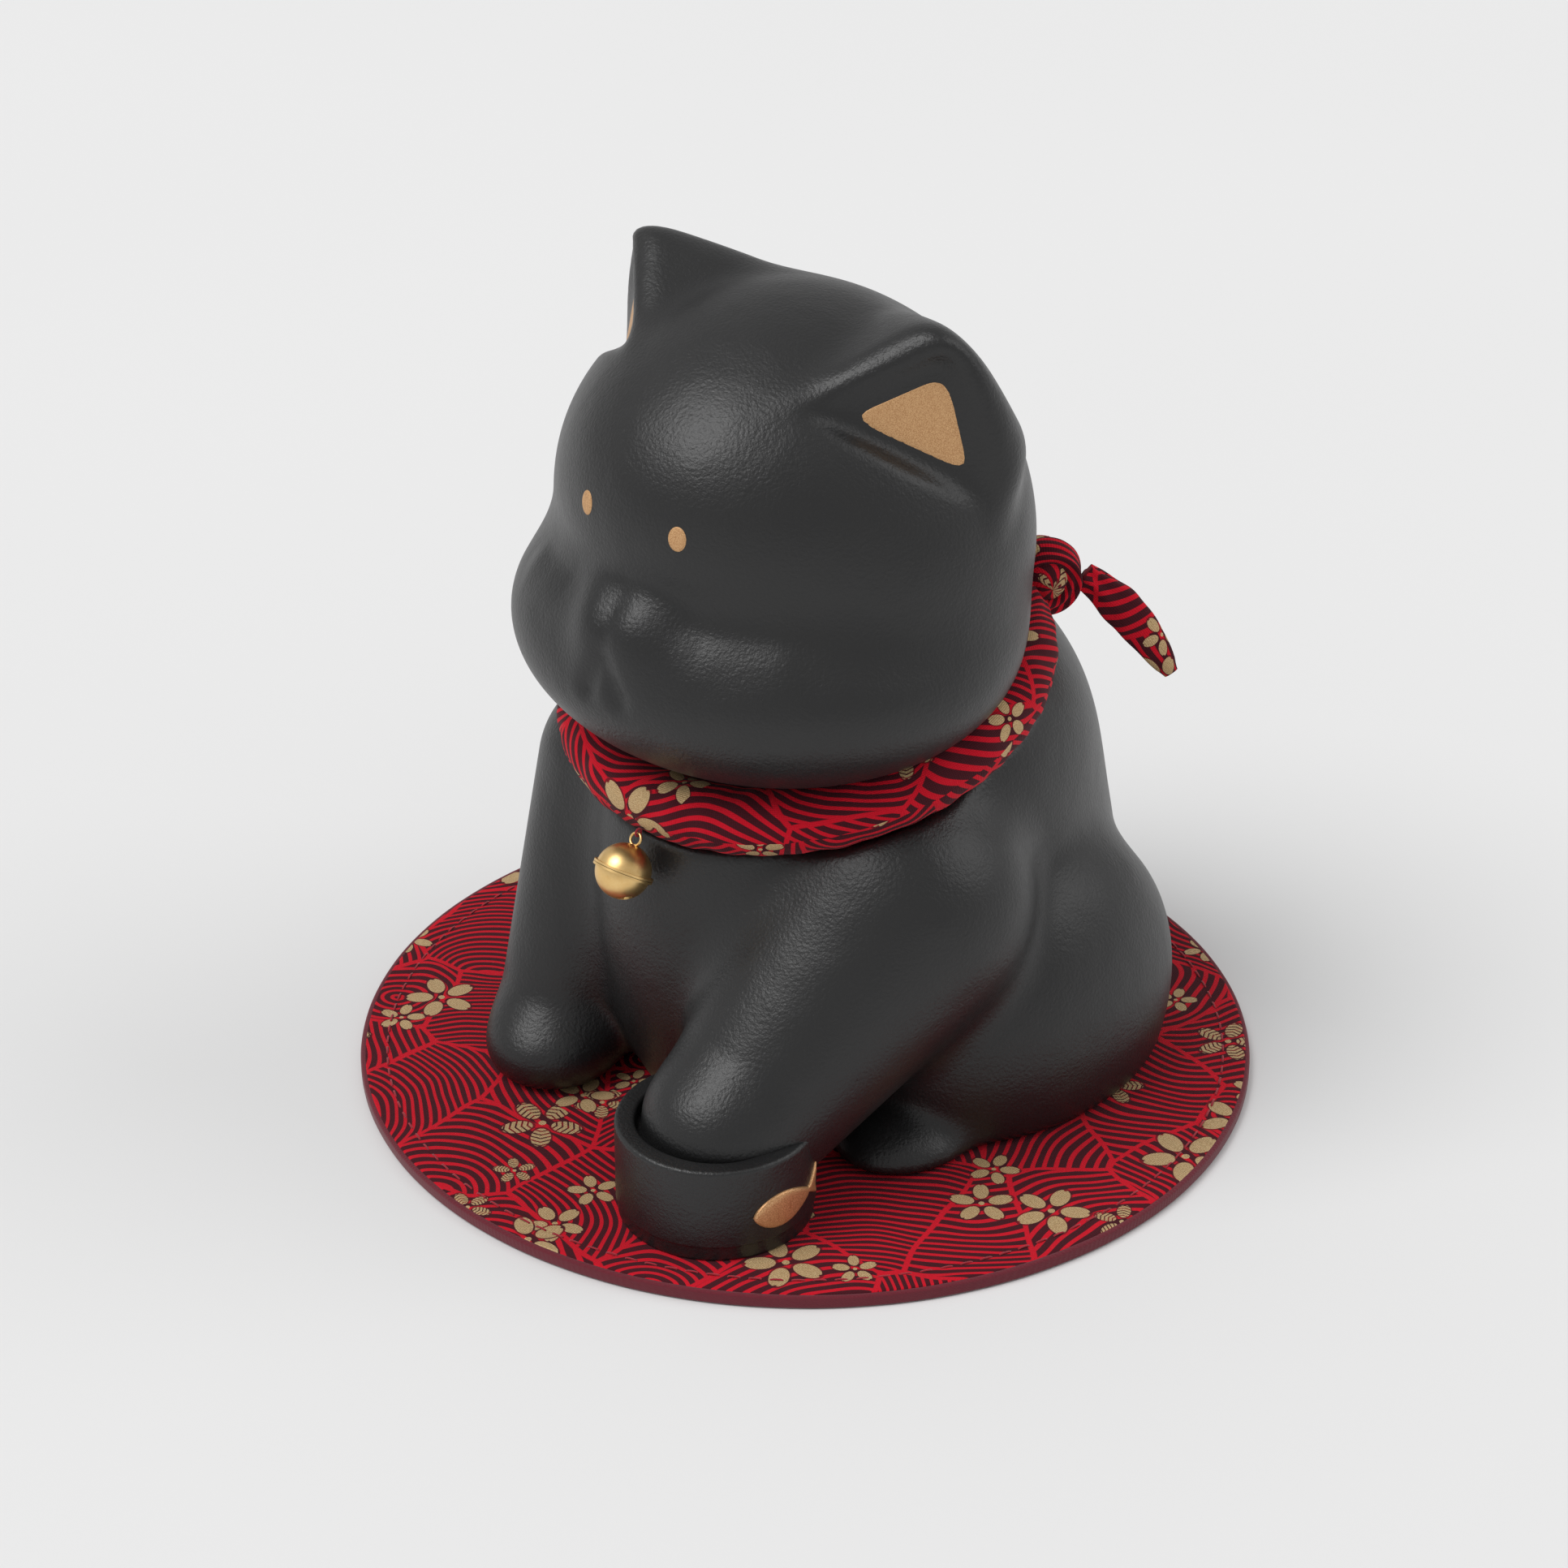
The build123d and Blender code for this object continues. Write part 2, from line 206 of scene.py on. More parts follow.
def body(points, mirrored):
    form = ellipsoid(points, *torso)
    form = join(form, ellipsoid(points, *shoulders), 20)
    form = join(form, ellipsoid(mirrored, (43, 22, 20), (28, 43, 42)), 6)
    form = join(form, ellipsoid(mirrored, (44, -16, 4), (15, 18, 9)), 5)
    form = join(form, ellipsoid(points, (0, -16, 50), (36, 35, 62)), 14)
    form = join(form, limb(points, (-34, -18, 68), (-36, -40, 16), 21.5, 14.5), 7)
    form = join(form, ellipsoid(points, (-33, -47, 10), (15, 15, 11)), 6)
    form = join(form, limb(points, (36, -12, 58), (31, -57, 21), 30, 18), 7)
    return join(form, ellipsoid(points, (31, -61, 25), (16, 16, 13)), 6)


def outside(points):
    """The casting's outer surface."""
    mirrored = np.stack([np.abs(points[..., 0]), points[..., 1], points[..., 2]], -1)
    form = join(body(points, mirrored), head(points, mirrored), 4)
    form = cut(form, ring(points, collar_tube + collar_gap), 2)
    return cut(form, points[..., 2] - mat_top - mat_gap, 3)


# ---- inside of the casting ----
wall = 5.0
hole_middle = middle("base_stopper")
hole_radius = extent("base_stopper")[0] / 2 - 3.7
seat_radius = extent("base_stopper")[0] / 2 + 0.3
seat_deep = 2.6


def casting(points):
    """The hollow casting: its outside, the cavity in it and the filling hole with its seat."""
    skin_distance = outside(points)
    belly = ellipsoid(points, *torso)
    for mass in (shoulders, skull):
        belly = join(belly, ellipsoid(points, *mass), 12)
    cavity = np.maximum(np.maximum(belly, skin_distance) + wall, mat_top + wall - points[..., 2])
    reach = np.hypot(points[..., 0] - hole_middle[0], points[..., 1] - hole_middle[1])
    hole = np.maximum(reach - hole_radius, points[..., 2] - mat_top - wall - 2)
    seat = np.maximum(reach - seat_radius, points[..., 2] - mat_top - seat_deep)
    form = np.maximum(skin_distance, -cavity)
    return np.maximum(form, -np.minimum(hole, seat))


# ---- meshes ----
def solid(name, points, faces, material):
    """A smooth-shaded mesh object from points in mm."""
    mesh = bpy.data.meshes.new(name)
    mesh.from_pydata((np.asarray(points, float) * MM).tolist(), [], faces)
    mesh.polygons.foreach_set("use_smooth", np.ones(len(mesh.polygons), bool))
    mesh.materials.append(material)
    piece = bpy.data.objects.new(name, mesh)
    bpy.context.scene.collection.objects.link(piece)
    return piece


def face_outwards(piece):
    """Turns a closed mesh's faces outwards."""
    work = bmesh.new()
    work.from_mesh(piece.data)
    bmesh.ops.recalc_face_normals(work, faces=work.faces)
    work.to_mesh(piece.data)
    work.free()
    return piece


def skin(name, rings, material, uv=None, looped=False):
    """A surface through closed rings of points, capped, or with its last ring joined to its first if looped.

    uv gives a place in the cloth, in mm, for each ring and each point, with the closing ones repeated."""
    rings = np.asarray(rings, float)
    rows, columns = rings.shape[:2]
    a, b = np.meshgrid(np.arange(rows if looped else rows - 1), np.arange(columns), indexing="ij")
    a, b = a.ravel(), b.ravel()
    a2, b2 = (a + 1) % rows, (b + 1) % columns
    quads = np.stack([a * columns + b, a * columns + b2, a2 * columns + b2, a2 * columns + b], -1)
    faces = quads.tolist()
    if not looped:
        faces.append(list(range(columns))[::-1])
        faces.append(list(range((rows - 1) * columns, rows * columns)))
    piece = solid(name, rings.reshape(-1, 3), faces, material)
    if uv is not None:
        corners = np.stack([uv[a, b], uv[a, b + 1], uv[a + 1, b + 1], uv[a + 1, b]], 1) * MM
        every = np.zeros((len(piece.data.loops), 2), np.float32)
        every[: corners.size // 2] = corners.reshape(-1, 2)
        layer = piece.data.uv_layers.new(name="cloth")
        layer.data.foreach_set("uv", every.ravel())
    return face_outwards(piece)


def merged(name, pieces):
    """One object from several."""
    with bpy.context.temp_override(
        active_object=pieces[0], selected_editable_objects=pieces, selected_objects=pieces
    ):
        bpy.ops.object.join()
    pieces[0].name = name
    pieces[0].data.name = name
    return pieces[0]


def turned(outline, centre, segments, axis=(0, 0, 1)):
    """Rings of an outline of (radius, height) points turned round an axis through centre."""
    axis = np.array(axis, float)
    side = np.cross(axis, (1, 0, 0) if abs(axis[0]) < 0.9 else (0, 1, 0))
    side = side / np.linalg.norm(side)
    other = np.cross(axis, side)
    angles = np.arange(segments) * FULL_TURN / segments
    circle = np.outer(np.cos(angles), side) + np.outer(np.sin(angles), other)
    outline = np.asarray(outline, float)
    return np.array(centre) + outline[:, 0, None, None] * circle + outline[:, 1, None, None] * axis


def arc(centre, radius, start, end, steps=6):
    """Points on an arc of an outline, from one angle in degrees to another."""
    angles = np.radians(np.linspace(start, end, steps))
    return [(centre[0] + radius * cos(a), centre[1] + radius * sin(a)) for a in angles]


def swept(path, half_wide, half_thick, columns, wide_way, ripple=None):
    """Rings of an oval section carried along a path. wide_way is the section's wide direction, and
    ripple(share, angle) adds to its radius."""
    path = np.asarray(path, float)
    tangents = np.gradient(path, axis=0)
    tangents /= np.linalg.norm(tangents, axis=1, keepdims=True)
    wide_way = np.broadcast_to(np.array(wide_way, float), path.shape)
    wide = wide_way - (wide_way * tangents).sum(1, keepdims=True) * tangents
    wide /= np.linalg.norm(wide, axis=1, keepdims=True)
    thick = np.cross(tangents, wide)
    angles = np.arange(columns) * FULL_TURN / columns
    share = np.linspace(0, 1, len(path))[:, None]
    extra = ripple(share, angles[None, :]) if ripple else 0 * share
    across = (np.broadcast_to(half_wide, len(path))[:, None] + extra) * np.cos(angles)
    deep = (np.broadcast_to(half_thick, len(path))[:, None] + extra) * np.sin(angles)
    return path[:, None] + across[..., None] * wide[:, None] + deep[..., None] * thick[:, None]


def cloth_places(rings, start=(0.0, 0.0)):
    """Where each point of a net of rings lies in the flat cloth: along the net and round each ring."""
    closed = np.concatenate([rings, rings[:, :1]], 1)
    round_way = np.cumsum(np.linalg.norm(np.diff(closed, axis=1), axis=-1).mean(0))
    centres = rings.mean(1)
    along_way = np.cumsum(np.linalg.norm(np.diff(centres, axis=0), axis=-1))
    along_way = np.concatenate([[0], along_way]) + start[0]
    round_way = np.concatenate([[0], round_way]) + start[1]
    return np.stack(np.meshgrid(along_way, round_way, indexing="ij"), -1)


# ---- the casting's mesh: a net over the sampled form, drawn onto it and evened out ----
def surface_net(field, low, step):
    """Points and quads of a net where a sampled form changes from inside to outside."""
    inside = field < 0
    cells = np.array(field.shape) - 1
    count = np.zeros(cells, np.int8)
    for corner in np.ndindex(2, 2, 2):
        window = tuple(slice(c, c + n) for c, n in zip(corner, cells))
        count += inside[window]
    mixed = (count > 0) & (count < 8)
    number = np.full(cells, -1, np.int32)
    number[mixed] = np.arange(mixed.sum())
    points = low + (np.argwhere(mixed) + 0.5) * step
    quads = []
    for axis in range(3):
        ahead = np.take(inside, np.arange(1, field.shape[axis]), axis)
        behind = np.take(inside, np.arange(field.shape[axis] - 1), axis)
        second, third = (np.eye(3, dtype=int)[(axis + i) % 3] for i in (1, 2))
        edges = np.argwhere(ahead != behind)
        leaving = behind[tuple(edges.T)]
        around = [number[tuple((edges - shift).T)] for shift in (second + third, third, 0 * third, second)]
        quad = np.stack(around, -1)
        quad[~leaving] = quad[~leaving][:, ::-1]
        quads.append(quad)
    return points, np.concatenate(quads)


def gradient(form, points, reach=0.05):
    here = form(points)
    slopes = [form(points + np.eye(3)[axis] * reach) - here for axis in range(3)]
    return here, np.stack(slopes, -1) / reach


def drawn_on(form, points, rounds):
    """Points moved along the form's slope until they lie on its surface."""
    for _ in range(rounds):
        here, slope = gradient(form, points)
        square = np.maximum((slope**2).sum(-1), 0.05)
        points = points - np.clip(here / square, -1, 1)[:, None] * slope
    return points


def evened(points, quads):
    """Each point moved halfway to the middle of its neighbours."""
    total = np.zeros_like(points)
    count = np.zeros(len(points))
    for corner in range(4):
        here = quads[:, corner]
        for neighbour in (quads[:, corner - 1], quads[:, (corner + 1) % 4]):
            for axis in range(3):
                total[:, axis] += np.bincount(here, points[neighbour, axis], len(points))
            count += np.bincount(here, minlength=len(points))
    return points + (total / count[:, None] - points) / 2


def casting_mesh(material):
    step = 1.4
    low = np.array((-76.0, -84.0, mat_top - 3))
    high = np.array((76.0, 84.0, 194.0))
    axes = [np.arange(low[i], high[i], step, dtype=np.float32) for i in range(3)]
    slices = (np.stack(np.meshgrid([x], axes[1], axes[2], indexing="ij"), -1) for x in axes[0])
    field = np.stack([casting(points)[0] for points in slices])
    points, quads = surface_net(field, low, step)
    points = drawn_on(casting, points, 3)
    for _ in range(4):
        points = drawn_on(casting, evened(points, quads), 1)
    points = drawn_on(casting, points, 2)
    return solid("cat_casting", points, quads.tolist(), material)


# ---- materials ----
class Field:
    """A number that varies over a surface; arithmetic on it adds Math nodes."""

    def __init__(self, tree, socket):
        self.tree = tree
        self.socket = socket

    def math(self, operation, *values):
        node = self.tree.nodes.new("ShaderNodeMath")
        node.operation = operation
        for port, value in zip(node.inputs, values):
            if isinstance(value, Field):
                self.tree.links.new(value.socket, port)
            else:
                port.default_value = value
        return Field(self.tree, node.outputs[0])

    def __add__(self, other):
        return self.math("ADD", self, other)

    def __sub__(self, other):
        return self.math("SUBTRACT", self, other)

    def __rsub__(self, other):
        return self.math("SUBTRACT", other, self)

    def __mul__(self, other):
        return self.math("MULTIPLY", self, other)

    def __truediv__(self, other):
        return self.math("DIVIDE", self, other)

    def __lt__(self, other):
        return self.math("LESS_THAN", self, other)

    def __gt__(self, other):
        return self.math("GREATER_THAN", self, other)

    __radd__ = __add__
    __rmul__ = __mul__

    def absolute(self):
        return self.math("ABSOLUTE", self)

    def square(self):
        return self.math("MULTIPLY", self, self)

    def sine(self):
        return self.math("SINE", self)

    def cosine(self):
        return self.math("COSINE", self)

    def fraction(self):
        return self.math("FRACT", self)

    def root(self):
        return self.math("SQRT", self)

    def most(self, other):
        return self.math("MAXIMUM", self, other)

    def ramp(self, low, high):
        """0 up to low, 1 from high, and smooth between."""
        node = self.tree.nodes.new("ShaderNodeMapRange")
        node.interpolation_type = "SMOOTHSTEP"
        self.tree.links.new(self.socket, node.inputs["Value"])
        node.inputs["From Min"].default_value = low
        node.inputs["From Max"].default_value = high
        return Field(self.tree, node.outputs["Result"])


def srgb(red, green, blue):
    """A colour given as on a screen, 0 to 255, in linear light."""
    shares = [value / 255 for value in (red, green, blue)]
    return [s / 12.92 if s < 0.04045 else ((s + 0.055) / 1.055) ** 2.4 for s in shares] + [1.0]


class Finish:
    """A material being made: its nodes, its shader, and the places its textures are laid by, in mm."""

    def __init__(self, name, place="Object", **settings):
        self.material = bpy.data.materials.new(name)
        self.material.use_nodes = True
        self.tree = self.material.node_tree
        self.shader = self.tree.nodes["Principled BSDF"]
        source = self.tree.nodes.new("ShaderNodeTexCoord").outputs[place]
        self.place = self.node("VectorMath", {0: source, "Scale": 1 / MM}, operation="SCALE").outputs[0]
        for socket, value in settings.items():
            self.shader.inputs[socket.replace("_", " ")].default_value = value

    def node(self, kind, inputs=None, **properties):
        made = self.tree.nodes.new("ShaderNode" + kind)
        for name, value in properties.items():
            setattr(made, name, value)
        for port, value in (inputs or {}).items():
            self.feed(made.inputs[port], value)
        return made

    def feed(self, port, value):
        if isinstance(value, Field):
            self.tree.links.new(value.socket, port)
        elif isinstance(value, bpy.types.NodeSocket):
            self.tree.links.new(value, port)
        else:
            port.default_value = value

    def paint(self, socket, value):
        self.feed(self.shader.inputs[socket], value)

    def noise(self, size, detail=2.0, roughness=0.5, where=None):
        """Cloudy noise with features of a size in mm."""
        settings = {"Vector": where or self.place, "Scale": 1 / size}
        settings |= {"Detail": detail, "Roughness": roughness}
        return Field(self.tree, self.node("TexNoise", settings).outputs["Fac"])

    def cells(self, size, where, feature="F1", randomness=1.0, dimensions="2D"):
        """Scattered cells about size mm apart."""
        settings = {"Vector": where, "Scale": 1 / size, "Randomness": randomness}
        return self.node("TexVoronoi", settings, feature=feature, voronoi_dimensions=dimensions)

    def parts(self, vector):
        """The three numbers of a vector or colour."""
        node = self.node("SeparateXYZ", {0: vector})
        return [Field(self.tree, socket) for socket in node.outputs]

    def mix(self, share, low, high):
        node = self.node("Mix", {0: share, 6: low, 7: high}, data_type="RGBA")
        return node.outputs[2]

    def bump(self, height, depth, below=None):
        """A bump depth mm high."""
        inputs = {"Height": height, "Distance": depth * MM}
        if below:
            inputs["Normal"] = below
        return self.node("Bump", inputs).outputs[0]


def black_ceramic():
    finish = Finish("black_ceramic", Specular_IOR_Level=0.5)
    leather = finish.noise(0.75, 3.0, 0.55)
    swell = finish.noise(9.0, 1.0)
    tone = finish.noise(26.0, 3.0)
    finish.paint("Base Color", finish.mix(tone, srgb(23, 23, 24), srgb(29, 29, 29)))
    finish.paint("Roughness", 0.34 + leather * 0.1)
    grain = finish.bump(leather, 0.16)
    finish.paint("Normal", finish.bump(swell, 0.3, grain))
    return finish.material


def metal_paint(name, low, high, metallic, roughness):
    """Brushed-on metallic paint with fine flakes."""
    finish = Finish(name, Metallic=metallic)
    flake = finish.noise(0.22, 2.0, 0.7)
    finish.paint("Base Color", finish.mix(flake.ramp(0.35, 0.65), low, high))
    finish.paint("Roughness", roughness + flake * 0.2)
    finish.paint("Normal", finish.bump(flake, 0.03))
    return finish.material


def brass():
    finish = Finish("satin_brass", Metallic=1.0)
    cloud = finish.noise(1.2, 3.0, 0.6)
    fine = finish.noise(0.12, 2.0, 0.6)
    finish.paint("Base Color", finish.mix(cloud, srgb(230, 186, 116), srgb(247, 214, 152)))
    finish.paint("Roughness", 0.3 + fine * 0.14)
    finish.paint("Normal", finish.bump(fine, 0.006))
    return finish.material


def weave_of(finish, across, along, pitch=0.42):
    """Height of a plain weave, 0 to 1."""
    over = (across * (pi / pitch)).sine() * (along * (pi / pitch)).sine()
    return 0.5 + over * 0.5


def printed_cloth(name, place):
    """Cotton printed with fans and bands of red lines on maroon and scattered gold blossoms."""
    finish = Finish(name, place, Sheen_Weight=0.06, Sheen_Roughness=0.4, Specular_IOR_Level=0.2)
    x, y, _ = finish.parts(finish.place)
    drift = finish.node("TexNoise", {"Vector": finish.place, "Scale": 1 / 26, "Detail": 1.0})
    wander = drift.outputs["Color"]
    shift = finish.node("VectorMath", {0: wander, "Scale": 9.0}, operation="SCALE").outputs[0]
    warped = finish.node("VectorMath", {0: finish.place, 1: shift}, operation="ADD").outputs[0]

    patch = finish.cells(30, warped, randomness=0.9)
    patch_x, patch_y, _ = finish.parts(patch.outputs["Position"])
    pick_x, pick_y, pick_gap = finish.parts(patch.outputs["Color"])
    warped_x, warped_y, _ = finish.parts(warped)
    off_x = warped_x - patch_x + (pick_x - 0.5) * 90
    off_y = warped_y - patch_y + (pick_y - 0.5) * 90
    spread = (off_x.square() + off_y.square()).root()
    spacing = 1.8 + pick_gap * 0.8
    line = ((spread / spacing).fraction() - 0.5).absolute() * 2
    border = Field(finish.tree, finish.cells(30, warped, "DISTANCE_TO_EDGE", 0.9).outputs["Distance"])
    red = (1 - line.ramp(0.34, 0.46)).most(1 - border.ramp(0.014, 0.024))

    def blossoms(size, radius, share):
        """Gold five-petalled flowers, and the dark line round them."""
        cell = finish.cells(size, finish.place, randomness=0.72)
        cell_x, cell_y, _ = finish.parts(cell.outputs["Position"])
        turn, large, kind = finish.parts(cell.outputs["Color"])
        flat_x = x - cell_x
        flat_y = y - cell_y
        reach = radius * (0.72 + large * 0.36)
        far = (flat_x.square() + flat_y.square()).root() / reach
        angle = flat_x.math("ARCTAN2", flat_y, flat_x) / FULL_TURN * 5 + turn * 5 + 10
        sector = (angle.fraction() - 0.5) * (FULL_TURN / 5)
        along = far * sector.cosine()
        across = (far * sector.sine()).absolute()
        oval = ((along - 0.6) / 0.37).square() + (across / 0.235).square()
        notch = (along - across * 0.9).ramp(0.88, 0.93)
        shown = kind > (1 - share)
        stamen = (far < 0.09)
        stripes = ((along * 7 + across * 3).fraction() - 0.5).absolute().ramp(0.12, 0.2)
        hatched = (turn * 7.3).fraction() < 0.3
        petal = (1 - oval.ramp(0.92, 1.04)) * (1 - notch)
        petal = petal * (1 - hatched * (1 - stripes))
        return petal.most(stamen) * shown, (1 - oval.ramp(1.25, 1.5)) * shown

    big, big_line = blossoms(27, 9.4, 0.8)
    small, small_line = blossoms(21, 6.4, 0.55)
    gold = big.most(small * (1 - big_line))
    outline = big_line.most(small_line)

    weave = weave_of(finish, x + y, x - y)
    fibre = finish.noise(0.3, 3.0, 0.7)
    ground = finish.mix(fibre, srgb(54, 10, 19), srgb(78, 18, 29))
    crimson = finish.mix(fibre, srgb(184, 6, 28), srgb(216, 16, 42))
    dye = finish.mix(red * (1 - outline * 0.75), ground, crimson)
    leaf = finish.mix(fibre.ramp(0.3, 0.7), srgb(170, 138, 94), srgb(216, 188, 142))
    gold_share = gold * (0.86 + weave * 0.14) * fibre.ramp(0.18, 0.34)
    finish.paint("Base Color", finish.mix(gold_share, dye, leaf))
    finish.paint("Metallic", gold_share * 0.25)
    finish.paint("Roughness", 0.88 - gold_share * 0.36)
    threads = finish.bump(weave, 0.10)
    finish.paint("Normal", finish.bump(fibre, 0.05, threads))
    return finish.material


def plain_cloth():
    finish = Finish("plain_maroon_cloth", Sheen_Weight=0.2, Specular_IOR_Level=0.25)
    x, y, z = finish.parts(finish.place)
    fibre = finish.noise(0.35, 3.0, 0.7)
    weave = weave_of(finish, x + z, y + z * 0.8, 0.5)
    finish.paint("Base Color", finish.mix(fibre, srgb(84, 22, 34), srgb(116, 38, 50)))
    finish.paint("Roughness", 0.8 + fibre * 0.15)
    threads = finish.bump(weave, 0.06)
    finish.paint("Normal", finish.bump(fibre, 0.05, threads))
    return finish.material


def yarn(name, low, high):
    finish = Finish(name, Sheen_Weight=0.3, Specular_IOR_Level=0.3)
    fibre = finish.noise(0.12, 3.0, 0.7)
    finish.paint("Base Color", finish.mix(fibre, low, high))
    finish.paint("Roughness", 0.7 + fibre * 0.2)
    finish.paint("Normal", finish.bump(fibre, 0.03))
    return finish.material


def fibrous(name, low, high, size):
    """Wadding or felt."""
    finish = Finish(name, Sheen_Weight=0.3, Specular_IOR_Level=0.2)
    tangle = finish.noise(size, 5.0, 0.7)
    finish.paint("Base Color", finish.mix(tangle, low, high))
    finish.paint("Roughness", 0.85 + tangle * 0.15)
    finish.paint("Normal", finish.bump(tangle, 0.3))
    return finish.material


def rubber():
    finish = Finish("stopper_rubber", Specular_IOR_Level=0.4)
    bloom = finish.noise(3.0, 4.0, 0.6)
    pores = finish.noise(0.25, 2.0)
    finish.paint("Base Color", finish.mix(bloom, srgb(58, 57, 56), srgb(72, 71, 69)))
    finish.paint("Roughness", 0.6 + bloom * 0.2)
    finish.paint("Normal", finish.bump(pores, 0.03))
    return finish.material


def steel():
    finish = Finish("steel", Metallic=1.0)
    scratch = finish.noise(0.4, 4.0, 0.6)
    finish.paint("Base Color", finish.mix(scratch, srgb(150, 150, 152), srgb(190, 190, 192)))
    finish.paint("Roughness", 0.25 + scratch * 0.2)
    return finish.material


ceramic = black_ceramic()
gold_paint = metal_paint("gold_paint", srgb(178, 130, 84), srgb(212, 170, 122), 0.35, 0.42)
copper_paint = metal_paint("copper_gold_paint", srgb(176, 122, 76), srgb(226, 180, 132), 0.65, 0.3)
mat_print = printed_cloth("mat_print", "Object")
collar_print = printed_cloth("collar_print", "UV")
maroon_cloth = plain_cloth()
felt = fibrous("felt", srgb(120, 112, 106), srgb(158, 150, 142), 0.8)
wadding = fibrous("wadding", srgb(206, 202, 194), srgb(236, 233, 226), 1.4)
red_thread = yarn("red_thread", srgb(120, 10, 26), srgb(176, 24, 44))
brass_finish = brass()
rubber_finish = rubber()
steel_finish = steel()


def finish_node(node, material):
    """Gives a CAD node that stays its material."""
    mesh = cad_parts[node].data
    mesh.materials.clear()
    mesh.materials.append(material)


# ---- casting, eyes and ears ----
cat = casting_mesh(ceramic)
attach(cat, "cat")
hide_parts("cat_shell")


head_middle = np.array(skull[0])


def patch(name, centre, across, up, outline, material, lift=0.22):
    """Paint on the casting: a thin pad that follows its surface. outline(angles) is its reach in mm."""
    across, up = (np.array(v, float) / np.linalg.norm(v) for v in (across, up))
    normal = np.cross(across, up)
    normal = normal * np.sign(normal @ (np.array(centre) - head_middle))
    angles = np.arange(72) * FULL_TURN / 72
    direction = np.outer(np.cos(angles), across) + np.outer(np.sin(angles), up)
    reach = outline(angles)
    shares = np.concatenate([np.linspace(0.02, 0.94, 14), [0.98, 1.0]])
    flat = np.array(centre) + shares[:, None, None] * reach[None, :, None] * direction
    for _ in range(8):
        here, slope = gradient(outside, flat.reshape(-1, 3))
        step = here / np.maximum(slope @ normal, 0.2)
        flat = flat - (np.clip(step, -2, 2)[:, None] * normal).reshape(flat.shape)
    _, slope = gradient(outside, flat.reshape(-1, 3))
    slope = (slope / np.linalg.norm(slope, axis=1, keepdims=True)).reshape(flat.shape)
    height = lift * (1 - shares**8)[:, None, None]
    return skin(name, np.concatenate([flat - slope * 0.4, (flat + slope * height)[::-1]]), material)


def oval(wide, high):
    return lambda angles: 1 / np.hypot(np.cos(angles) / wide, np.sin(angles) / high)


def eye(name, node, side):
    centre = middle(node)
    centre[0] = side * abs(centre[0])
    piece = patch(name, centre, (side * 0.97, 0.25, 0), (0, 0, 1), oval(2.0, 2.6), gold_paint)
    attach(piece, "cat")
    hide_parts(node)


eye("eye_left_paint", "eye_left", 1)
eye("eye_right_paint", "eye_right", -1)


def rounded_triangle(corners, sharpness):
    """Reach of a triangle with round corners, from its middle, at each angle."""

    def reach(angles):
        total = np.zeros(len(angles))
        for i in range(3):
            first, second = corners[i], corners[(i + 1) % 3]
            edge = second - first
            outward = np.array((edge[1], -edge[0])) / np.linalg.norm(edge)
            distance = first @ outward
            if distance < 0:
                outward, distance = -outward, -distance
            facing = np.cos(angles) * outward[0] + np.sin(angles) * outward[1]
            total = total + np.maximum(facing / distance, 0) ** sharpness
        return total ** (-1 / sharpness)

    return reach


patch_middle = np.array((40.8, -9.9, 169.2))
patch_corners = np.array(((-15.5, 3.0), (4.2, 10.8), (8.6, -9.6)))


def ear_patch(name, node, side):
    """The painted triangle in an ear; its corners are given across and up the dish."""
    flip = np.array((side, 1, 1))
    across = square_to(dish_face, np.array((0, 0, -1.0)))
    up = square_to(across, -dish_face)
    reach = rounded_triangle(patch_corners, 3.6)
    piece = patch(name, patch_middle * flip, across * flip, up * flip, reach, gold_paint)
    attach(piece, "cat")
    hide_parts(node)


ear_patch("ear_left_paint", "ear_gilding_left", 1)
ear_patch("ear_right_paint", "ear_gilding_right", -1)


# ---- can and fish ----
def can_outline():
    """Half section of the can, from the middle of its underside to the middle of its recess."""
    foot = can_radius - 0.45
    rim_inner = can_radius - 4.4
    recess = can_top - 2.6
    return (
        [(0.05, mat_top)]
        + arc((foot - 0.7, mat_top + 0.7), 0.7, -90, 0)
        + [(foot, mat_top + 3.1), (foot + 0.1, mat_top + 3.4)]
        + arc((can_radius - 0.4, mat_top + 4.0), 0.4, -60, 0, 4)
        + [(can_radius, can_top - 6), (can_radius, can_top - 1.2)]
        + arc((can_radius - 0.9, can_top - 0.9), 0.9, 0, 90)
        + arc((rim_inner + 0.8, can_top - 0.8), 0.8, 90, 180)
        + [(rim_inner - 0.1, can_top - 2.2), (rim_inner - 0.7, recess), (0.05, recess)]
    )


def can_mesh():
    rings = turned(can_outline(), (can_middle[0], can_middle[1], 0), 180)
    offset = rings - np.array((can_middle[0], can_middle[1], 0))
    angle = np.arctan2(offset[..., 1], offset[..., 0])
    unround = 1 + 0.004 * np.sin(2 * angle + 0.6) + 0.0025 * np.sin(5 * angle)
    inner = np.hypot(offset[..., 0], offset[..., 1]) < can_radius - 3
    rings[..., :2] = (rings - offset * (1 - unround)[..., None])[..., :2]
    rings[..., 2] += np.where(inner & (rings[..., 2] > can_top - 1), 0.1 * np.sin(4 * angle + 1), 0)
    return skin("can", rings, ceramic)


can = can_mesh()
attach(can, "cat")
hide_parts("tin_can")


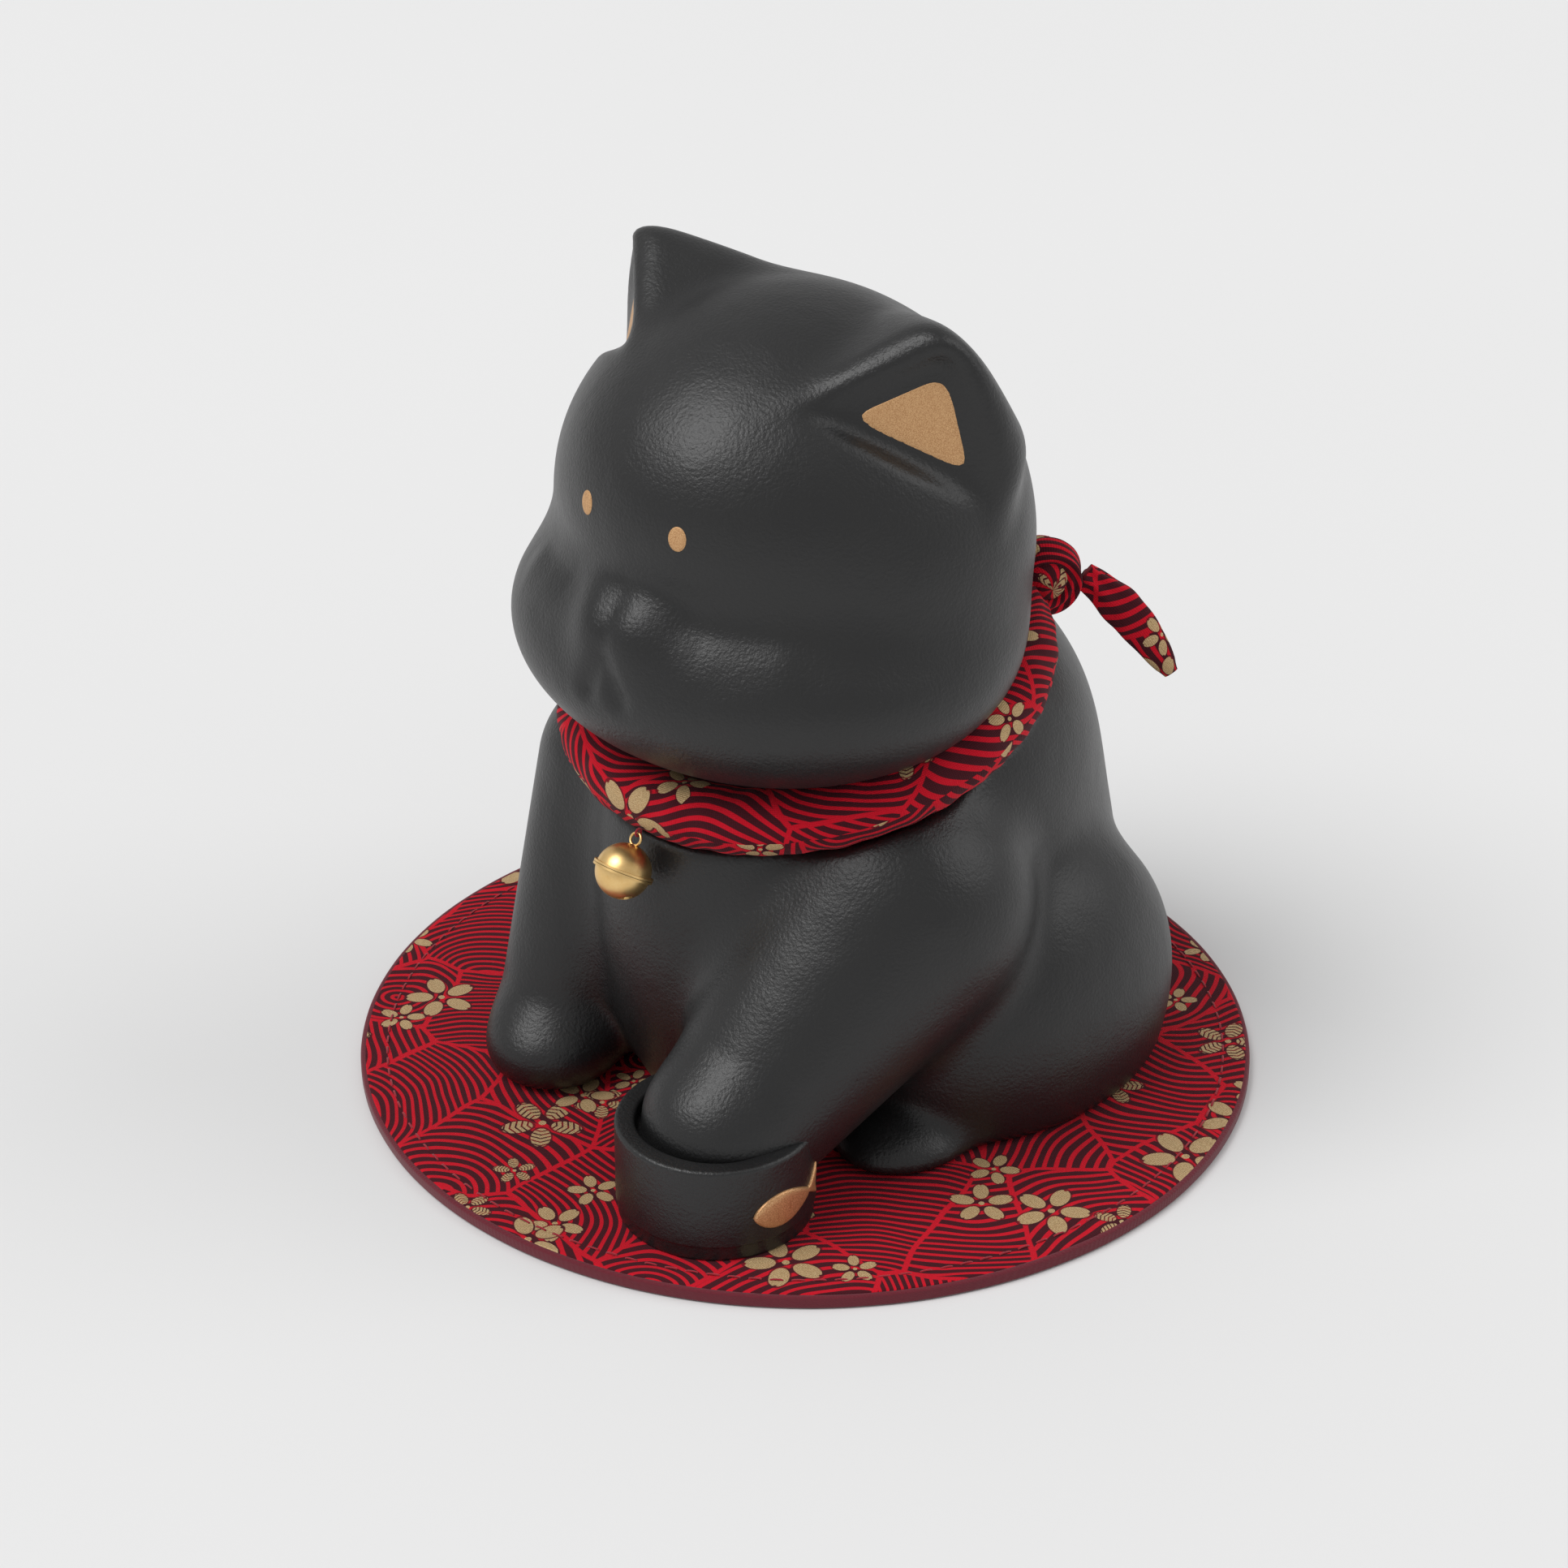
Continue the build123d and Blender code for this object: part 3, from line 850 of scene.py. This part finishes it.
def fish_mesh():
    """A leaf-shaped fish with a forked tail, domed a little and wrapped round the can."""
    fish_long, fish_high, proud = 20.5, 8.4, 0.75
    bearing = radians(92)
    centre_z = middle("fish_relief")[2]
    stations = np.linspace(0, 1, 60)
    body_half = fish_high / 2 * np.sin(pi * np.clip(stations / 0.80, 0, 1) ** 0.8) ** 0.8
    tail_half = 0.56 * fish_high * np.clip((stations - 0.70) / 0.30, 0, 1) ** 1.3
    half = np.maximum(np.maximum(body_half, tail_half), np.where(stations > 0.5, 0.7, 0.02))
    across = np.linspace(-1, 1, 25)
    along = stations[:, None] * fish_long - fish_long / 2
    notch = 2.6 * np.clip((stations - 0.72) / 0.28, 0, 1)[:, None] ** 2 * (np.abs(across) ** 1.5 - 0.5)
    along = along + notch
    high = half[:, None] * across
    dome = proud * (1 - np.abs(across) ** 4) ** 0.5 * np.clip(half / 1.2, 0, 1)[:, None] ** 0.5
    dome = dome * (1 - np.clip((stations - 0.97) / 0.03, 0, 1) ** 2)[:, None]

    def wrapped(radius):
        turn = bearing + along / can_radius
        x = can_middle[0] + radius * np.sin(turn)
        y = can_middle[1] - radius * np.cos(turn)
        return np.stack([x, y, centre_z + high], -1)

    upper = wrapped(can_radius + dome)
    lower = wrapped(can_radius - 0.6)
    rings = np.concatenate([upper, lower[:, ::-1][:, 1:-1]], 1)
    return skin("fish", rings, copper_paint)


fish = fish_mesh()
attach(fish, "cat")
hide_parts("fish_relief")

finish_node("base_stopper", rubber_finish)

# ---- collar ----
ring_across = np.array((1.0, 0.0, 0.0))
ring_back = np.array((0.0, cos(collar_tilt), sin(collar_tilt)))
ring_up = np.cross(ring_across, ring_back)
knot_offset = knot_middle - collar_middle
knot_bearing = atan2(knot_offset @ ring_back, knot_offset @ ring_across)
knot_along = -sin(knot_bearing) * ring_across + cos(knot_bearing) * ring_back
knot_out = cos(knot_bearing) * ring_across + sin(knot_bearing) * ring_back


def collar_rings(tube, wrinkle, rows=300, columns=48):
    """The collar tube, from the knot round the neck and back to it."""
    turn = np.arange(rows) * FULL_TURN / rows
    angles = np.arange(columns) * FULL_TURN / columns
    from_knot = np.minimum(turn, FULL_TURN - turn)[:, None] * collar_ring
    gather = np.exp(-((from_knot / 15) ** 2))
    radius = tube * (1 - 0.16 * gather)
    folds = 0.45 * gather * np.cos(7 * angles + 0.8 * np.sin(from_knot / 4))
    slack = 0.16 * np.sin(turn[:, None] * 23 + 2.2 * np.cos(angles)) * np.sin(turn[:, None] * 5 + 1)
    slack = slack + 0.13 * np.sin(turn[:, None] * 41 + 1.5 * np.sin(angles * 2) + 1)
    radius = radius + wrinkle * (folds + slack - 0.1)
    bearing = knot_bearing + turn[:, None]
    out = np.cos(bearing)[..., None] * ring_across + np.sin(bearing)[..., None] * ring_back
    away = collar_ring + radius * np.cos(angles)
    return collar_middle + away[..., None] * out + (radius * np.sin(angles))[..., None] * ring_up


def collar_places(rings, tube):
    rows, columns = rings.shape[:2]
    along = np.arange(rows + 1) * FULL_TURN / rows * collar_ring
    around = np.arange(columns + 1) * FULL_TURN / columns * tube + 40
    return np.stack(np.meshgrid(along, around, indexing="ij"), -1)


cover_rings = collar_rings(collar_tube, 1.0)
collar = skin("collar", cover_rings, collar_print, collar_places(cover_rings, collar_tube), looped=True)
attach(collar, "cat")
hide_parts("collar_cover")

filling = skin("collar_filling", collar_rings(collar_tube - 1.0, 0.8, 160, 24), wadding, looped=True)
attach(filling, "cat")
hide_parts("collar_wadding")


def knot_mesh():
    """The collar's ends passed round each other: a band in one and a third turns over a firm core."""
    steps = 90
    share = np.linspace(0, 1, steps)
    turn = radians(-150) + radians(480) * share
    shift = (share - 0.5) * 9.5
    reach = 5.3 - 0.5 * np.cos(turn)
    path = (
        knot_middle
        + reach[:, None] * (np.cos(turn)[:, None] * knot_out + np.sin(turn)[:, None] * ring_up)
        + shift[:, None] * knot_along
    )
    taper = 0.75 + 0.25 * np.sin(pi * share)

    def folds(share, angle):
        return 0.38 * np.cos(5 * angle + 3 * share) + 0.22 * np.cos(9 * angle - 5 * share + 1)

    rings = swept(path, 4.3 * taper, 2.7 * taper, 40, knot_along, folds)
    band = skin("knot_band", rings, collar_print, cloth_places(rings, (20, 70)))
    outline = [(6.2 * sin(a), -7.0 * cos(a)) for a in np.linspace(0.02, pi - 0.02, 18)]
    core_rings = turned(outline, knot_middle - knot_out * 1.0, 32, knot_along)
    core = skin("knot_core", core_rings, collar_print, cloth_places(core_rings, (5, 12)))
    return merged("knot", [band, core])


knot = knot_mesh()
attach(knot, "cat")
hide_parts("collar_knot")


def tail_mesh(name, root, tip, sag, wide_way, start):
    """A tail of the collar: a flat leaf with a soft hem, widest a third of the way down, with a blunt end."""
    steps = 70
    share = np.linspace(0, 1, steps)
    root, tip = np.array(root, float), np.array(tip, float)
    path = root + (tip - root) * share[:, None] + np.array(sag) * np.sin(pi * share)[:, None]
    knots = (0, 0.10, 0.38, 0.7, 0.93, 0.985, 1.0)
    half_wide = np.interp(share, knots, (2.6, 3.1, 4.6, 3.9, 2.5, 2.1, 1.3))
    half_wide = np.convolve(np.pad(half_wide, 4, "edge"), np.ones(9) / 9, "valid")
    half_thick = np.interp(share, knots, (2.2, 2.1, 1.9, 1.5, 1.25, 1.1, 0.5))
    half_thick = np.convolve(np.pad(half_thick, 2, "edge"), np.ones(5) / 5, "valid")

    def folds(share, angle):
        near = np.exp(-((share / 0.3) ** 2))
        return near * 0.35 * np.cos(6 * angle + 2) + 0.09 * np.sin(24 * share + 3 * np.sin(angle))

    rings = swept(path, half_wide, half_thick, 44, wide_way, folds)
    piece = skin(name, rings, collar_print, cloth_places(rings, start))
    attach(piece, "cat")
    return piece


tail_left = tail_mesh(
    "tail_left", (35.0, 51.0, 111.5), (51.5, 62.0, 89.0), (0.5, 0.5, 1.5), (0.35, 0.65, 0.6), (9, 21)
)
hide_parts("collar_tail_left")
tail_right = tail_mesh(
    "tail_right", (23.0, 54.0, 112.5), (7.5, 69.0, 91.0), (-0.6, 1.0, 2.0), (-0.8, -0.1, 0.6), (70, 8)
)
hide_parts("collar_tail_right")


# ---- bell ----
for node in ("bell_upper_shell", "bell_lower_shell", "bell_loop"):
    finish_node(node, brass_finish)
finish_node("bell_pellet", steel_finish)


def thread_mesh():
    """The two twisted strands of the thread loop between collar and bell."""
    centre = middle("bell_thread")
    loop_radius, strand_radius, strand_offset, twists = 0.8, 0.16, 0.12, 7
    upward = np.array((0, sin(bell_lean), cos(bell_lean)))
    forward = np.array((0, -cos(bell_lean), sin(bell_lean)))
    turn = np.arange(96) * FULL_TURN / 96
    strands = []
    for start in (0, pi):
        twist = turn * twists + start
        out = np.outer(np.cos(turn), upward) + np.outer(np.sin(turn), forward)
        path = centre + out * (loop_radius + strand_offset * np.cos(twist))[:, None]
        path = path + np.outer(strand_offset * np.sin(twist), (1, 0, 0))
        rings = swept(np.concatenate([path, path[:1]]), strand_radius, strand_radius, 8, (1, 0, 0))[:-1]
        strands.append(skin("strand", rings, red_thread, looped=True))
    return merged("thread_loop", strands)


thread = thread_mesh()
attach(thread, "thread")
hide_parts("bell_thread")


# ---- mat ----
stitch_ring = 94.0
stitch_count = 132


def mat_rings(radii, heights, columns=288):
    return turned(list(zip(radii, heights)), (0, 0, 0), columns)


def mat_surface(name, radii, heights, material, ripple, uneven=0.0):
    rings = mat_rings(radii, heights)
    x, y = rings[..., 0], rings[..., 1]
    reach = np.hypot(x, y)
    angle = np.arctan2(y, x)
    wave = np.sin(x / 17 + 0.4) * np.cos(y / 23) + 0.5 * np.sin((x + y) / 11)
    edge = np.clip((reach - 60) / 40, 0, 1) ** 2
    pucker = np.exp(-(((reach - stitch_ring) / 1.1) ** 2)) * (0.7 + 0.3 * np.cos(stitch_count * angle))
    rings[..., 2] += ripple * (0.10 * edge * wave + 0.07 * edge * np.sin(9 * angle + 1) - 0.22 * pucker)
    waver = np.sin(3 * angle) + 0.6 * np.sin(11 * angle + 2) + 0.4 * np.sin(29 * angle)
    unround = 1 + uneven * waver / 1000
    rings[..., :2] *= unround[..., None]
    return skin(name, rings, material)


def disc_profile(outer, low, high, roll):
    """Radii and heights of a thin disc from its underside's middle, round its edge, to its upper middle."""
    inner = [0.05, outer * 0.5, outer - roll]
    edge = arc((outer - roll, (low + high) / 2), 1.0, -80, 80, 9)
    scale = (high - low) / 2
    radii = inner + [outer - roll + (r - (outer - roll)) * roll for r, _ in edge]
    heights = [low] * 3 + [(low + high) / 2 + (h - (low + high) / 2) * scale for _, h in edge]
    fine = np.linspace(outer - roll, 0.05, 90)
    return radii + fine.tolist(), heights + [high] * len(fine)


top_radii, top_heights = disc_profile(mat_radius - 0.9, 2.2, mat_top, 0.5)
mat_cover = mat_surface("mat_cover", top_radii, top_heights, mat_print, 1.0, 0.4)
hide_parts("mat_top_cloth")

core_radii, core_heights = disc_profile(mat_radius - 1.4, 0.8, 2.2, 0.4)
mat_felt = mat_surface("mat_felt", core_radii, core_heights, felt, 0.0)
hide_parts("mat_core")

back_radii, back_heights = disc_profile(mat_radius - 1.2, 0.0, 0.8, 0.3)
mat_back = mat_surface("mat_back", back_radii, back_heights, maroon_cloth, 0.0)
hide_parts("mat_backing")


def binding_mesh():
    """The plain cloth turned round the mat's edge, a soft flat-sided roll."""
    outer, inner = mat_radius, mat_radius - 1.3
    outline = (
        [(inner, 0.05)]
        + arc((outer - 0.5, 0.5), 0.5, -90, 0)
        + arc((outer - 0.6, mat_top - 0.75), 0.6, 0, 90)
        + arc((inner + 0.35, mat_top - 0.5), 0.35, 90, 180, 4)
    )
    rings = turned(outline, (0, 0, 0), 360)
    angle = np.arctan2(rings[..., 1], rings[..., 0])
    unround = 1 + 0.4 * (np.sin(3 * angle) + 0.6 * np.sin(11 * angle + 2) + 0.4 * np.sin(29 * angle)) / 1000
    rings[..., :2] *= np.minimum(unround, 1.0005)[..., None]
    closed = np.transpose(rings, (1, 0, 2))
    return skin("mat_binding", closed, maroon_cloth, looped=True)


binding = binding_mesh()
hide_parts("mat_edge_binding")


def stitches_mesh():
    """Short bent lengths of thread whose ends dive into the cloth."""
    stitches = []
    for i in range(stitch_count):
        middle_angle = i * FULL_TURN / stitch_count
        share = np.linspace(-1, 1, 9)
        angle = middle_angle + share * 1.35 / stitch_ring
        height = mat_top - 0.16 + 0.22 * (1 - share**2) ** 0.5
        path = np.stack([stitch_ring * np.cos(angle), stitch_ring * np.sin(angle), height], -1)
        outward = (cos(middle_angle), sin(middle_angle), 0)
        stitches.append(swept(path, 0.24, 0.16, 8, outward))
    return merged("mat_stitches", [skin("stitch", rings, red_thread) for rings in stitches])


stitches = stitches_mesh()
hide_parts("mat_topstitch")

for piece in (mat_cover, mat_felt, mat_back, binding, stitches):
    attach(piece, "mat")


# ---- camera, floor and light ----
def camera():
    data = bpy.data.cameras.new("camera")
    data.lens = 100
    data.sensor_width = 36
    seen = bpy.data.objects.new("camera", data)
    bpy.context.scene.collection.objects.link(seen)
    bearing, rise = radians(42), radians(29.75)
    back = Vector((sin(bearing) * cos(rise), -cos(bearing) * cos(rise), sin(rise)))
    right = Vector((cos(bearing), sin(bearing), 0))
    upward = back.cross(right)
    seen.location = right * -0.00474 + upward * 0.0587 + back * 0.985
    seen.rotation_mode = "QUATERNION"
    seen.rotation_quaternion = (-back).to_track_quat("-Z", "Y")
    data.clip_start = 0.01
    data.clip_end = 50
    bpy.context.scene.camera = seen


def floor():
    finish = Finish("pale_floor", Specular_IOR_Level=0.2)
    cloud = finish.noise(400.0, 1.0)
    finish.paint("Base Color", finish.mix(cloud, srgb(226, 226, 226), srgb(229, 229, 229)))
    finish.paint("Roughness", 0.7 + cloud * 0.1)
    mesh = bpy.data.meshes.new("floor")
    half = 8.0
    corners = [(-half, -half, 0), (half, -half, 0), (half, half, 0), (-half, half, 0)]
    mesh.from_pydata(corners, [], [(0, 1, 2, 3)])
    mesh.materials.append(finish.material)
    ground = bpy.data.objects.new("floor", mesh)
    bpy.context.scene.collection.objects.link(ground)
    ground.location.z = -0.0002


def sun(name, bearing, rise, softness, strength):
    """A distant soft light that shines from a bearing, as the camera's views count it, and a height."""
    data = bpy.data.lights.new(name, "SUN")
    data.angle = radians(softness)
    data.energy = strength
    lamp = bpy.data.objects.new(name, data)
    bpy.context.scene.collection.objects.link(lamp)
    bearing, rise = radians(bearing), radians(rise)
    source = Vector((sin(bearing) * cos(rise), -cos(bearing) * cos(rise), sin(rise)))
    lamp.rotation_mode = "QUATERNION"
    lamp.rotation_quaternion = source.to_track_quat("Z", "Y")


def room_light(strength):
    world = bpy.data.worlds.new("studio")
    world.use_nodes = True
    background = world.node_tree.nodes["Background"]
    background.inputs["Color"].default_value = (1, 1, 1, 1)
    background.inputs["Strength"].default_value = strength
    bpy.context.scene.world = world


camera()
floor()
sun("key", -25, 56, 34, 1.7)
sun("side", 135, 38, 40, 0.6)
room_light(0.52)
bpy.context.scene.view_settings.view_transform = "Standard"
